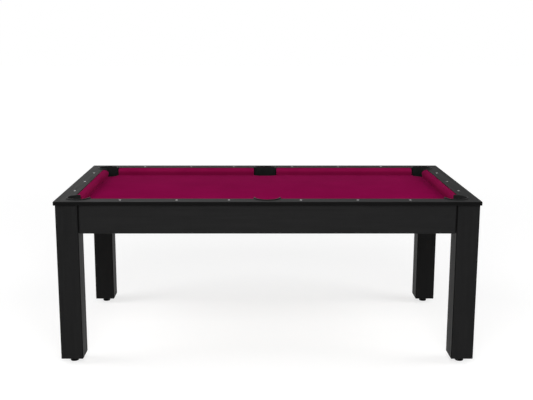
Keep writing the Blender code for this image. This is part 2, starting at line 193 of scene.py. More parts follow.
# Camera
LENS = 60.0
SENSOR = 36.0
CAMERA_SHIFT = 0.0227
CAMERA_PLACE = (-0.0606, -4.5447, 1.5922)
CAMERA_TILT = math.radians(90 - 11.182)

# Light
FLOOR_SIZE = 60.0
FLOOR_GLOW = 0.74
FLOOR_SHADE = 0.30
FLOOR_BOUNCE = 0.88
FLOOR_FADE = (1.5, 6.0)
LEFT_GLEAM = 1.0
RIGHT_GLEAM = 0.40
GLEAM_SPREAD = 0.25
AMBIENT = 0.04
FRONT_POWER = 148.0
LEFT_POWER = 106.0
RIGHT_POWER = 100.0
BACK_POWER = 14.0
FRONT_SIZE = (2.6, 2.0)
SIDE_SIZE = (2.0, 3.2)
BACK_SIZE = (2.6, 2.0)
FRONT_PLACE = (0.0, -3.7, 2.6)
LEFT_PLACE = (-3.6, -0.3, 2.6)
RIGHT_PLACE = (3.6, -0.3, 2.6)
BACK_PLACE = (0.0, 3.7, 2.6)
LAMP_AIM = (0.0, 0.0, 0.75)

SIDES = {"left": -1, "right": 1}
ENDS = {"front": -1, "back": 1}


def wave_scale(period):
    """The scale at which a wave texture's stripes repeat at a period in metres."""
    return math.pi / 10 / period


class Finish:
    """A procedural material, built node by node on a Principled shader.

    Scales of noise count per metre, and colours are in linear light.
    """

    def __init__(self, name, **sockets):
        self.material = bpy.data.materials.new(name)
        self.material.use_nodes = True
        self.tree = self.material.node_tree
        self.shader = self.tree.nodes["Principled BSDF"]
        for socket, value in sockets.items():
            self.shader.inputs[socket.replace("_", " ")].default_value = value
        self.place = self.add("ShaderNodeTexCoord").outputs["Object"]
        self.normal = self.place.node.outputs["Normal"]

    def add(self, kind, inputs=None, **settings):
        """Add a node; each input is a value to set or a socket to join."""
        node = self.tree.nodes.new(kind)
        for setting, value in settings.items():
            setattr(node, setting, value)
        for key, value in (inputs or {}).items():
            if isinstance(value, bpy.types.NodeSocket):
                self.tree.links.new(value, node.inputs[key])
            else:
                node.inputs[key].default_value = value
        return node

    def stretched(self, scale):
        return self.add("ShaderNodeMapping", {"Vector": self.place, "Scale": scale}).outputs[0]

    def noise(self, scale, detail=2.0, roughness=0.5, place=None, distortion=0.0):
        inputs = {"Vector": place or self.place, "Scale": scale, "Detail": detail,
                  "Roughness": roughness, "Distortion": distortion}
        return self.add("ShaderNodeTexNoise", inputs).outputs["Fac"]

    def bands(self, direction, period, distortion=0.0):
        """Soft stripes across X, Y, Z or the diagonal, of the given period in metres."""
        inputs = {"Vector": self.place, "Scale": wave_scale(period),
                  "Distortion": distortion}
        return self.add("ShaderNodeTexWave", inputs, bands_direction=direction).outputs["Fac"]

    def between(self, value, low, high, new_low=0.0, new_high=1.0):
        inputs = {"Value": value, "From Min": low, "From Max": high,
                  "To Min": new_low, "To Max": new_high}
        return self.add("ShaderNodeMapRange", inputs).outputs["Result"]

    def combine(self, operation, first, second):
        return self.add("ShaderNodeMath", {0: first, 1: second},
                        operation=operation).outputs[0]

    def ramp(self, value, positions, tones):
        """Colours along a value, each tone at its position."""
        node = self.add("ShaderNodeValToRGB", {"Fac": value})
        elements = node.color_ramp.elements
        while len(elements) < len(tones):
            elements.new(0.5)
        for element, position, tone in zip(elements, positions, tones):
            element.position = position
            element.color = (*tone, 1.0)
        return node.outputs["Color"]

    def tint(self, colour, factor, amount):
        """Multiply a colour by (1 - amount) where the factor is 1."""
        scale = self.between(factor, 0.0, 1.0, 1.0, 1.0 - amount)
        node = self.add("ShaderNodeVectorMath", {0: colour, "Scale": scale}, operation="SCALE")
        return node.outputs[0]

    def colour(self, socket):
        self.tree.links.new(socket, self.shader.inputs["Base Color"])

    def roughness(self, socket):
        self.tree.links.new(socket, self.shader.inputs["Roughness"])

    def bump(self, height, distance, strength=1.0):
        node = self.add("ShaderNodeBump", {"Height": height, "Distance": distance,
                                           "Strength": strength})
        self.tree.links.new(node.outputs["Normal"], self.shader.inputs["Normal"])


def laminate(name, along, gloss, edged=False):
    """Black wood-grain laminate whose pores run along one axis.

    An edged board has a darker edge band and a pebbled relief; on the others painted shade
    darkens the rounded upright edges.
    """
    finish = Finish(name, Specular_IOR_Level=gloss)
    pore_scale = [1.0, 1.0, 1.0]
    pore_scale["XYZ".index(along)] = 0.05
    along_grain = finish.stretched(pore_scale)
    pores = finish.noise(1100.0, 3.0, 0.6, along_grain)
    streaks = finish.noise(70.0, 4.0, 0.6, along_grain)
    cloud = finish.noise(4.0, 2.0)
    pore = finish.between(pores, 0.60, 0.72)
    colour = finish.ramp(streaks, (0.30, 0.70), LAMINATE_TONES)
    colour = finish.tint(colour, pore, 0.45)
    colour = finish.tint(colour, cloud, 0.10)
    if edged:
        upward = finish.add("ShaderNodeSeparateXYZ", {0: finish.normal}).outputs["Z"]
        side = finish.between(finish.combine("ABSOLUTE", upward, 0.0), 0.6, 0.3)
        colour = finish.tint(colour, side, EDGE_BAND_TINT)
    else:
        facing = finish.add("ShaderNodeSeparateXYZ", {0: finish.normal}).outputs
        turned = finish.combine("MULTIPLY", facing["X"], facing["Y"])
        rounded = finish.between(finish.combine("ABSOLUTE", turned, 0.0), 0.15, 0.40)
        # Painted shade: rounded upright edges, where the normal turns between X and Y, are made
        # darker
        colour = finish.tint(colour, rounded, PAINTED_EDGE_SHADE)
    finish.colour(colour)
    finish.roughness(finish.between(streaks, 0.3, 0.7, 0.46, 0.58))
    relief = finish.combine("SUBTRACT", streaks, pore)
    if edged:
        pebble = finish.noise(230.0, 2.0, 0.6)
        relief = finish.combine("ADD", relief, finish.combine("MULTIPLY", pebble, PEBBLE_SHARE))
    finish.bump(relief, 0.00008, 0.5)
    return finish.material


def moulded_plastic():
    """Black plastic with a fine grain and a faint haze."""
    finish = Finish("moulded_plastic", Specular_IOR_Level=PLASTIC_GLOSS)
    grain = finish.noise(1500.0, 2.0, 0.5)
    haze = finish.noise(30.0, 3.0, 0.5)
    finish.colour(finish.ramp(haze, (0.3, 0.7), PLASTIC_TONES))
    finish.roughness(finish.between(haze, 0.3, 0.7, 0.36, 0.48))
    finish.bump(grain, 0.00005, 0.6)
    return finish.material


def pool_cloth(name="pool_cloth", green=1.0):
    """Felted worsted: a fine twill under a short nap, with its fibres lying along X.

    The green part of its colour can be raised: a painted sheen, used for the cushions' cloth.
    """
    finish = Finish(name, Roughness=0.95, Specular_IOR_Level=0.0,
                    Sheen_Weight=0.10, Sheen_Roughness=0.50,
                    Sheen_Tint=CLOTH_SHEEN_TINT)
    twill = finish.combine("MULTIPLY", finish.bands("DIAGONAL", 0.0011, 1.5),
                           finish.bands("X", 0.0007, 1.0))
    fibres = finish.noise(1300.0, 4.0, 0.65, finish.stretched((0.25, 1.0, 1.0)))
    nap = finish.combine("ADD", finish.combine("MULTIPLY", twill, 0.35),
                         finish.combine("MULTIPLY", fibres, 0.65))
    shading = finish.combine("ADD", finish.combine("MULTIPLY", nap, 0.6),
                             finish.combine("MULTIPLY", finish.noise(5.0, 3.0, 0.6), 0.4))
    # Painted sheen: the green is raised on the cushions' copy of the cloth
    tones = [(red, least_green * green, blue) for red, least_green, blue in CLOTH_TONES]
    finish.colour(finish.ramp(shading, (0.25, 0.50, 0.75), tones))
    finish.bump(nap, 0.00015, 0.45)
    return finish.material


def fibre_board():
    """Pressed board of pale and dark chips."""
    finish = Finish("fibre_board", Roughness=0.85, Specular_IOR_Level=0.2)
    chips = finish.noise(700.0, 4.0, 0.7)
    cloud = finish.noise(14.0, 3.0, 0.6)
    colour = finish.ramp(chips, (0.35, 0.50, 0.68), BOARD_TONES)
    finish.colour(finish.tint(colour, cloud, 0.22))
    finish.bump(chips, 0.0002, 0.5)
    return finish.material


def softwood():
    """Planed softwood whose growth rings run along Y."""
    finish = Finish("softwood", Specular_IOR_Level=0.3)
    along_grain = finish.stretched((1.0, 0.035, 1.0))
    rings = finish.noise(42.0, 2.0, 0.45, along_grain, 1.2)
    fibres = finish.noise(900.0, 3.0, 0.6, along_grain)
    ringed = finish.combine("PINGPONG", finish.combine("MULTIPLY", rings, 7.0), 1.0)
    colour = finish.ramp(ringed, (0.0, 0.65, 1.0), WOOD_TONES)
    finish.colour(finish.tint(colour, fibres, 0.25))
    finish.roughness(finish.between(ringed, 0.0, 1.0, 0.70, 0.55))
    finish.bump(finish.combine("ADD", fibres, ringed), 0.00015, 0.5)
    return finish.material


def zinc_steel():
    """Zinc-plated steel, rolled along Z."""
    finish = Finish("zinc_steel", Metallic=1.0)
    cloud = finish.noise(38.0, 3.0, 0.55)
    rolled = finish.noise(900.0, 3.0, 0.6, finish.stretched((1.0, 1.0, 0.08)))
    finish.colour(finish.ramp(cloud, (0.30, 0.55, 0.75), ZINC_TONES))
    finish.roughness(finish.between(rolled, 0.3, 0.7, 0.28, 0.44))
    finish.bump(rolled, 0.00003, 0.5)
    return finish.material


def turned_aluminium():
    """Pale anodised aluminium with the fine rings that turning leaves about Z."""
    finish = Finish("turned_aluminium", Metallic=0.45)
    inputs = {"Vector": finish.place, "Scale": wave_scale(0.00035), "Distortion": 0.6}
    rings = finish.add("ShaderNodeTexWave", inputs, wave_type="RINGS",
                       rings_direction="Z").outputs["Fac"]
    haze = finish.noise(400.0, 2.0)
    finish.colour(finish.ramp(haze, (0.3, 0.7), ALUMINIUM_TONES))
    finish.roughness(finish.between(haze, 0.3, 0.7, 0.30, 0.44))
    finish.bump(rings, 0.00002, 0.5)
    return finish.material


def add_piece(name, shape, material, sharp_above=35):
    """Turn a bmesh into a smooth-shaded piece, with its faces pointing out."""
    bmesh.ops.recalc_face_normals(shape, faces=shape.faces)
    mesh = bpy.data.meshes.new(name)
    shape.to_mesh(mesh)
    shape.free()
    mesh.materials.append(material)
    mesh.shade_smooth()
    mesh.set_sharp_from_angle(angle=math.radians(sharp_above))
    piece = bpy.data.objects.new(name, mesh)
    bpy.context.scene.collection.objects.link(piece)
    return piece


def arc(centre, radius, start, end, steps):
    """Points on an arc, from the start angle to the end angle in degrees."""
    turns = [math.radians(start + (end - start) * step / steps) for step in range(steps + 1)]
    return [(centre[0] + radius * math.cos(turn), centre[1] + radius * math.sin(turn))
            for turn in turns]


def lathe(shape, profile, sides, centre=(0.0, 0.0), phase=0.0):
    """Turn a profile of (radius, height) points about a vertical line, closed at both ends."""
    rows = []
    for radius, height in profile:
        turns = [2 * math.pi * (side + phase) / sides for side in range(sides)]
        rows.append([shape.verts.new((centre[0] + radius * math.cos(turn),
                                      centre[1] + radius * math.sin(turn), height))
                     for turn in turns])
    for low, high in zip(rows, rows[1:]):
        for index, corner in enumerate(low):
            shape.faces.new((corner, low[index - 1], high[index - 1], high[index]))
    shape.faces.new(rows[0])
    shape.faces.new(rows[-1])
    return rows


def pocket_radius(pocket, angle, offset):
    """Distance from the pocket's centre to its inner edge, grown by an offset.

    A corner pocket is round. A middle pocket is cut in front by a flatter arc; angles
    from 180 to 360 degrees look towards the playing area.
    """
    if pocket["side_x"]:
        return CORNER_RADIUS + offset
    back = MIDDLE_RADIUS + offset
    if math.sin(angle) >= 0:
        return back
    front = MIDDLE_FRONT_RADIUS + offset
    apart = MIDDLE_FRONT_RADIUS - MIDDLE_FRONT_REACH
    ahead = apart * math.sin(angle) + math.sqrt(front ** 2 - (apart * math.cos(angle)) ** 2)
    blend = max(MIDDLE_CORNER_SOFTNESS - abs(back - ahead), 0) / MIDDLE_CORNER_SOFTNESS
    return min(back, ahead) - blend ** 2 * MIDDLE_CORNER_SOFTNESS / 4


def pocket_point(pocket, angle, offset):
    reach = pocket_radius(pocket, angle, offset)
    return (pocket["x"] + reach * math.cos(angle) * (pocket["side_x"] or 1),
            pocket["y"] + reach * math.sin(angle) * pocket["side_y"])


def list_pockets():
    """Each pocket's centre and the way that its back faces; side_x is 0 in the middle."""
    pockets = {}
    for end_name, side_y in ENDS.items():
        for side_name, side_x in (*SIDES.items(), ("middle", 0)):
            pockets[f"{end_name}_{side_name}"] = {
                "x": CORNER_X * side_x, "y": (CORNER_Y if side_x else MIDDLE_Y) * side_y,
                "side_x": side_x, "side_y": side_y}
    return pockets


def liner_columns(pocket):
    """(angle, inset) of each column of a liner; the inset is None in the mouth."""
    first = math.radians(-90 if pocket["side_x"] else 0)
    last = math.pi
    middle_of_collar = pocket_radius(pocket, last, COLLAR_WIDTH / 2)
    ends = []
    for step in range(ARM_END_STEPS + 1):
        turn = math.pi / 2 * step / ARM_END_STEPS
        inset = ARM_END_RADIUS * (1 - math.sin(turn))
        ends.append((ARM_END_RADIUS * (1 - math.cos(turn)) / middle_of_collar, inset))
    spare = ends[-1][0]
    steps = math.ceil((last - first - 2 * spare) / COLLAR_ANGLE_STEP)
    collar = [(first + along, inset) for along, inset in ends]
    collar += [(first + spare + (last - first - 2 * spare) * step / steps, 0.0)
               for step in range(1, steps)]
    collar += [(last - along, inset) for along, inset in reversed(ends)]
    open_turn = 2 * math.pi + first - last
    steps = math.ceil(open_turn / MOUTH_ANGLE_STEP)
    mouth = [(last + open_turn * step / steps, None) for step in range(steps + 1)]
    return collar + mouth


def liner_profile(inset):
    """(offset, height) points from the cup's floor over the rim and down the outside."""
    inner_fillet = CUP_FILLET - CUP_WALL
    inside = arc((-inner_fillet, CUP_FLOOR + inner_fillet), inner_fillet, -90, 0, FILLET_STEPS)
    lip = CLOTH_TOP - LIP_DROP
    half_wall = CUP_WALL / 2
    if inset is None:
        # The lip in the mouth has as many points as the rim beside it
        rim = arc((half_wall, lip - half_wall), half_wall, 180, 0, 2 * RIM_STEPS + 2)
        rim += [(CUP_WALL, lip - CUP_WALL * share) for share in LIP_SIDE_SHARES]
    else:
        top = COLLAR_TOP - COLLAR_EDGE - inset
        outer = COLLAR_WIDTH - inset
        rim = [(inset, lip - half_wall)]
        rim += arc((inset + COLLAR_EDGE, top), COLLAR_EDGE, 180, 90, RIM_STEPS)
        rim += arc((outer - COLLAR_EDGE, top), COLLAR_EDGE, 90, 0, RIM_STEPS)
        rim += [(outer, CLOTH_TOP + FIT), (CUP_WALL, CLOTH_TOP + FIT)]
    bottom = CUP_FLOOR - CUP_WALL
    outside = arc((CUP_WALL - CUP_FILLET, bottom + CUP_FILLET), CUP_FILLET, 0, -90,
                  FILLET_STEPS)
    return inside + rim + outside


def add_liner(name, pocket):
    shape = bmesh.new()
    columns = [[shape.verts.new((*pocket_point(pocket, angle, offset), height))
                for offset, height in liner_profile(inset)]
               for angle, inset in liner_columns(pocket)]
    for index, column in enumerate(columns):
        before = columns[index - 1]
        for low in range(len(column) - 1):
            shape.faces.new((before[low], column[low], column[low + 1], before[low + 1]))
    for row, height in ((0, CUP_FLOOR), (-1, CUP_FLOOR - CUP_WALL)):
        centre = shape.verts.new((pocket["x"], pocket["y"], height))
        for index, column in enumerate(columns):
            shape.faces.new((columns[index - 1][row], column[row], centre))
    bmesh.ops.remove_doubles(shape, verts=shape.verts, dist=WELD_DISTANCE)
    liner = add_piece(f"liner_{name}", shape, FINISHES["black_plastic"])
    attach(liner, "root")
    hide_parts(f"pocket_liner_{name}")


def cushion_chains():
    """Reaches from the rail's edge to the nose, each with its top and bottom height."""
    foot = CLOTH_TOP + FIT
    top = RAIL_TOP - CUSHION_TOP_DROP
    nose_x = CUSHION_REACH - NOSE_RADIUS
    nose_z = CLOTH_TOP + NOSE_HEIGHT
    under = math.atan2(foot - nose_z, CUSHION_FOOT - nose_x)
    low_turn = under + math.acos(NOSE_RADIUS / math.dist((nose_x, nose_z), (CUSHION_FOOT, foot)))
    over = math.atan2(top - nose_z, FIT - nose_x)
    high_turn = over - math.acos(NOSE_RADIUS / math.dist((nose_x, nose_z), (FIT, top)))
    low_x = nose_x + NOSE_RADIUS * math.cos(low_turn)
    low_z = nose_z + NOSE_RADIUS * math.sin(low_turn)
    high_x = nose_x + NOSE_RADIUS * math.cos(high_turn)
    high_z = nose_z + NOSE_RADIUS * math.sin(high_turn)
    reaches = [FIT + (high_x - FIT) * (step / CUSHION_TOP_STEPS) ** CUSHION_TOP_CROWDING
               for step in range(CUSHION_TOP_STEPS)]
    reaches += [x for x, _ in arc((nose_x, 0), NOSE_RADIUS, math.degrees(high_turn), 0,
                                  CUSHION_NOSE_STEPS)]
    reaches = sorted([reach for reach in reaches if abs(reach - CUSHION_FOOT) > FIT]
                     + [CUSHION_FOOT])
    chains = []
    for reach in reaches:
        round_part = math.sqrt(max(NOSE_RADIUS ** 2 - (reach - nose_x) ** 2, 0))
        if reach < high_x:
            along = (reach - FIT) / (high_x - FIT)
            upper = (top + (high_z - top) * along
                     + CUSHION_CROWN * 4 * along * (1 - along)
                     - TUCK_DEPTH * max(1 - (reach - FIT) / TUCK_WIDTH, 0) ** 2)
        else:
            upper = nose_z + round_part
        if reach <= CUSHION_FOOT:
            lower = foot
        elif reach < low_x:
            lower = foot + (low_z - foot) * (reach - CUSHION_FOOT) / (low_x - CUSHION_FOOT)
        else:
            lower = nose_z - round_part
        chains.append((reach, upper, lower))
    return chains


def end_place(pocket, line, along_x):
    """Where a line along X or Y meets the pocket's collar, on the playing side of it."""
    radius = COLLAR_WIDTH + FIT + (CORNER_RADIUS if pocket["side_x"] else MIDDLE_RADIUS)
    across, centre = (pocket["y"], pocket["x"]) if along_x else (pocket["x"], pocket["y"])
    return centre, math.sqrt(radius ** 2 - (line - across) ** 2)


def add_cushion(name, low_pocket, high_pocket, along_x, side):
    """A cushion between two pockets, whose ends follow their collars."""
    shape = bmesh.new()
    rail = RAIL_INNER_Y if along_x else RAIL_INNER_X

    def corner(reach, height, share):
        line = side * (rail - reach)
        low_centre, low_gap = end_place(low_pocket, line, along_x)
        high_centre, high_gap = end_place(high_pocket, line, along_x)
        low = low_centre + low_gap
        place = low + (high_centre - high_gap - low) * share
        return shape.verts.new((place, line, height) if along_x else (line, place, height))

    chains = cushion_chains()
    loops = []
    for span in range(CUSHION_SPANS + 1):
        share = span / CUSHION_SPANS
        tops = [corner(reach, upper, share) for reach, upper, _ in chains]
        lows = [corner(reach, lower, share) for reach, _, lower in chains[:-1]]
        loops.append((tops, lows))
    for (tops, lows), (next_tops, next_lows) in zip(loops, loops[1:]):
        ring = tops + lows[::-1]
        next_ring = next_tops + next_lows[::-1]
        for index, point in enumerate(ring):
            shape.faces.new((ring[index - 1], point, next_ring[index], next_ring[index - 1]))
    for tops, lows in (loops[0], loops[-1]):
        for index in range(1, len(lows)):
            shape.faces.new((tops[index - 1], tops[index], lows[index], lows[index - 1]))
        shape.faces.new((tops[-2], tops[-1], lows[-1]))
    cushion = add_piece(f"cushion_cover_{name}", shape, FINISHES["painted_sheen_cloth"],
                        CUSHION_SHARP_ABOVE)
    edges = cushion.modifiers.new("rounded edges", "BEVEL")
    edges.width = CUSHION_END_RADIUS
    edges.segments = CUSHION_END_STEPS
    edges.limit_method = "ANGLE"
    edges.angle_limit = math.radians(CUSHION_ROUND_ABOVE)
    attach(cushion, "root")
    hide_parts(f"cushion_{name}")


def add_cushions(pockets):
    for end_name, side_y in ENDS.items():
        middle = pockets[f"{end_name}_middle"]
        add_cushion(f"{end_name}_left", pockets[f"{end_name}_left"], middle, True, side_y)
        add_cushion(f"{end_name}_right", middle, pockets[f"{end_name}_right"], True, side_y)
    for side_name, side_x in SIDES.items():
        add_cushion(side_name, pockets[f"front_{side_name}"], pockets[f"back_{side_name}"],
                    False, side_x)


def cloth_outline():
    """The cloth's cut: a rectangle whose corners are notched for legs and round pockets."""
    far_x, far_y = APRON_INNER_X - FIT - CLOTH_INSET, APRON_INNER_Y - FIT - CLOTH_INSET
    near_x, near_y = LEG_INNER_X - FIT - CLOTH_INSET, LEG_INNER_Y - FIT - CLOTH_INSET
    hole = CORNER_RADIUS + CUP_WALL + FIT
    beside, below = near_y - CORNER_Y, near_x - CORNER_X
    first = math.degrees(math.atan2(beside, math.sqrt(hole ** 2 - beside ** 2)))
    last = math.degrees(math.atan2(math.sqrt(hole ** 2 - below ** 2), below)) - 360
    quarter = [(far_x, near_y), *arc((CORNER_X, CORNER_Y), hole, first, last, HOLE_SIDES),
               (near_x, far_y)]
    turned = [(-x, y) for x, y in reversed(quarter)]
    return quarter + turned + [(-x, -y) for x, y in quarter] + [(-x, -y) for x, y in turned]


def add_bed_cloth(pockets):
    """The cloth glued flat on the bed, cut out round the pockets, with soft edges."""
    outline = cloth_outline()
    holes = [[pocket_point(pocket, 2 * math.pi * side / HOLE_SIDES, CUP_WALL + FIT)
              for side in range(HOLE_SIDES)]
             for pocket in pockets.values() if not pocket["side_x"]]
    cut = bpy.data.curves.new("cloth_cut", "CURVE")
    cut.dimensions = "2D"
    cut.fill_mode = "BOTH"
    cut.extrude = CLOTH_THICKNESS / 2 - CLOTH_EDGE
    cut.bevel_depth = CLOTH_EDGE
    cut.bevel_resolution = CLOTH_EDGE_STEPS
    cut.offset = -CLOTH_EDGE
    for loop in [outline, *holes]:
        line = cut.splines.new("POLY")
        line.points.add(len(loop) - 1)
        for point, (x, y) in zip(line.points, loop):
            point.co = (x, y, 0.0, 1.0)
        line.use_cyclic_u = True
    pattern = bpy.data.objects.new("cloth_cut", cut)
    shape = bmesh.new()
    shape.from_mesh(pattern.to_mesh())
    bpy.data.objects.remove(pattern)
    bmesh.ops.remove_doubles(shape, verts=shape.verts, dist=WELD_DISTANCE)
    bmesh.ops.translate(shape, verts=shape.verts, vec=(0, 0, CLOTH_TOP - CLOTH_THICKNESS / 2))
    cloth = add_piece("cloth_on_bed", shape, FINISHES["red_cloth"])
    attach(cloth, "root")
    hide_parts("bed_cloth")


def add_sights():
    """Low domed discs let into the rails."""
    profile = [(SIGHT_RADIUS, -SIGHT_THICKNESS)]
    profile += arc((SIGHT_RADIUS - SIGHT_EDGE, -SIGHT_EDGE), SIGHT_EDGE, 0, SIGHT_EDGE_TURN,
                   SIGHT_EDGE_STEPS)
    profile += [(SIGHT_RADIUS * share, SIGHT_DOME - SIGHT_DOME * share ** 2)
                for share in SIGHT_DOME_SHARES]
    for name in sorted(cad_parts):
        if not name.startswith("sight_"):
            continue
        low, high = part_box(name)
        shape = bmesh.new()
        lathe(shape, profile, SIGHT_SIDES)
        disc = add_piece(name.replace("sight", "inlay"), shape, FINISHES["silver_inlay"])
        disc.location = ((low.x + high.x) / 2, (low.y + high.y) / 2, high.z)
        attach(disc, "root")
        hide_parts(name)


def add_foot(name, centre):
    """A round pad and the threaded stud that turns in it."""
    shape = bmesh.new()
    low_edge = arc(PAD_LOW_EDGE_CENTRE, PAD_EDGE, -90, 0, PAD_EDGE_STEPS)
    high_edge = arc(PAD_HIGH_EDGE_CENTRE, PAD_EDGE, 0, PAD_HIGH_EDGE_TURN, PAD_EDGE_STEPS)
    hollow = arc(PAD_HOLLOW_CENTRE, PAD_EDGE, *PAD_HOLLOW_TURNS, PAD_EDGE_STEPS)
    profile = [(PAD_FACE_RADIUS, 0.0), *low_edge, *high_edge, PAD_SLOPE_END,
               *reversed(hollow), *PAD_NECK_AND_SOCKET]
    lathe(shape, profile, PAD_SIDES)
    pad = add_piece(f"foot_cup_{name}", shape, FINISHES["black_plastic"])
    pad.location = (*centre, 0.0)
    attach(pad, f"foot_pad_{name}")
    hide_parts(f"foot_pad_{name}")

    shape = bmesh.new()
    lathe(shape, [(PIN_RADIUS, PIN_BOTTOM), (PIN_RADIUS, HEX_BOTTOM + FIT)], PAD_SIDES)
    hexagon = chamfered(HEX_ACROSS_CORNERS / 2, HEX_BOTTOM, HEX_TOP, HEX_CHAMFER,
                        HEX_CHAMFER / 2)
    lathe(shape, hexagon, HEX_SIDES)
    add_thread(shape, HEX_TOP - FIT, STUD_TOP)
    stud = add_piece(f"foot_screw_{name}", shape, FINISHES["zinc_steel"],
                     STUD_SHARP_ABOVE)
    stud.location = (*centre, 0.0)
    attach(stud, f"foot_stud_{name}")
    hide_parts(f"foot_stud_{name}")


def add_thread(shape, low, high):
    """A right-hand V thread about Z, whose crest runs out to a chamfer at the top."""
    rows = math.ceil((high - low) / THREAD_PITCH * THREAD_STEPS_PER_TURN)
    profile = []
    for row in range(rows + 1):
        height = low + (high - low) * row / rows
        ring = []
        for side in range(THREAD_SIDES):
            phase = (height / THREAD_PITCH - side / THREAD_SIDES) % 1.0
            depth = THREAD_DEPTH * abs(2 * phase - 1)
            limit = THREAD_RADIUS - max(height - (high - THREAD_CHAMFER), 0)
            radius = min(THREAD_RADIUS - depth, limit)
            turn = 2 * math.pi * side / THREAD_SIDES
            ring.append(shape.verts.new((radius * math.cos(turn), radius * math.sin(turn),
                                         height)))
        profile.append(ring)
    for lower, upper in zip(profile, profile[1:]):
        for index, point in enumerate(lower):
            shape.faces.new((point, lower[index - 1], upper[index - 1], upper[index]))
    shape.faces.new(profile[0])
    shape.faces.new(profile[-1])


def chamfered(radius, low, high, inwards, along):
    """The profile of a disc whose two edges are cut by a chamfer of the given legs."""
    return [(radius - inwards, low), (radius, low + along),
            (radius, high - along), (radius - inwards, high)]


def turned_part(shape, profile, sides, place, direction, phase=0.0):
    """Turn a profile about a line that leaves a place in a direction."""
    made = bmesh.new()
    lathe(made, profile, sides, phase=phase)
    mesh = bpy.data.meshes.new("turned")
    made.to_mesh(mesh)
    made.free()
    turn = Vector((0, 0, 1)).rotation_difference(Vector(direction)).to_matrix().to_4x4()
    turn.translation = place
    mesh.transform(turn)
    shape.from_mesh(mesh)
    bpy.data.meshes.remove(mesh)


def add_plate_fasteners(name, side_x, side_y):
    """The bolt, washer and nut through a leg plate, and the screws in its two flanges."""
    shape = bmesh.new()
    touch = LEG_INNER_X + LEG_INNER_Y - FIT * math.sqrt(2)
    inner = touch - PLATE_THICKNESS * math.sqrt(2)
    across = inner / 2
    spread = (LEG_INNER_X - LEG_INNER_Y) / 2
    place = Vector(((across + spread) * side_x, (across - spread) * side_y, PLATE_MIDDLE))
    inward = Vector((-side_x, -side_y, 0)).normalized()
    washer = chamfered(WASHER_RADIUS, 0.0, WASHER_THICKNESS, WASHER_CHAMFER, WASHER_CHAMFER)
    turned_part(shape, washer, WASHER_SIDES, place, inward)
    nut_top = WASHER_THICKNESS + NUT_THICKNESS
    nut = chamfered(NUT_RADIUS, WASHER_THICKNESS, nut_top, NUT_CHAMFER, NUT_CHAMFER)
    turned_part(shape, nut, HEX_SIDES, place, inward, NUT_TURN)
    bolt = [(BOLT_RADIUS, nut_top - BOLT_OVERLAP), (BOLT_RADIUS, BOLT_END - BOLT_CHAMFER),
            (BOLT_RADIUS - BOLT_CHAMFER, BOLT_END)]
    turned_part(shape, bolt, BOLT_SIDES, place, inward)
    head = [(SCREW_HEAD_RADIUS, 0.0)]
    head += [(SCREW_HEAD_RADIUS * math.cos(turn), SCREW_HEAD_HEIGHT * math.sin(turn))
             for turn in SCREW_HEAD_TURNS]
    head += [(radius, SCREW_HEAD_HEIGHT - depth) for radius, depth in SCREW_RECESS]
    near_x = APRON_INNER_X - FIT - PLATE_THICKNESS
    near_y = APRON_INNER_Y - FIT - PLATE_THICKNESS
    flange_x = touch - near_y - PLATE_THICKNESS
    flange_y = touch - near_x - PLATE_THICKNESS
    for along in SCREW_PLACES:
        turned_part(shape, head, SCREW_SIDES,
                    Vector(((flange_x - along) * side_x, near_y * side_y, PLATE_MIDDLE)),
                    (0, -side_y, 0))
        turned_part(shape, head, SCREW_SIDES,
                    Vector((near_x * side_x, (flange_y - along) * side_y, PLATE_MIDDLE)),
                    (-side_x, 0, 0))
    fasteners = add_piece(f"plate_fasteners_{name}", shape, FINISHES["zinc_steel"])
    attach(fasteners, "root")


def finish_solids():
    """Give each solid that stays in view the material of its kind."""
    grains = {"leg": "leg_laminate", "apron_front": "long_laminate",
              "apron_back": "long_laminate", "apron_left": "end_laminate",
              "apron_right": "end_laminate", "rail_front": "long_rail_laminate",
              "rail_back": "long_rail_laminate", "rail_left": "end_rail_laminate",
              "rail_right": "end_rail_laminate"}
    laminates = {
        "leg_laminate": laminate("leg_laminate", "Z", LEG_GLOSS),
        "long_laminate": laminate("long_laminate", "X", APRON_GLOSS),
        "end_laminate": laminate("end_laminate", "Y", APRON_GLOSS),
        "long_rail_laminate": laminate("long_rail_laminate", "X", RAIL_GLOSS, edged=True),
        "end_rail_laminate": laminate("end_rail_laminate", "Y", RAIL_GLOSS, edged=True)}
    for name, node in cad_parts.items():
        for slot in node.material_slots:
            kind = slot.material.name.split(".")[0]
            if kind == "black_laminate":
                grain = next(grain for start, grain in grains.items() if name.startswith(start))
                slot.material = laminates[grain]
            else:
                slot.material = FINISHES[kind]


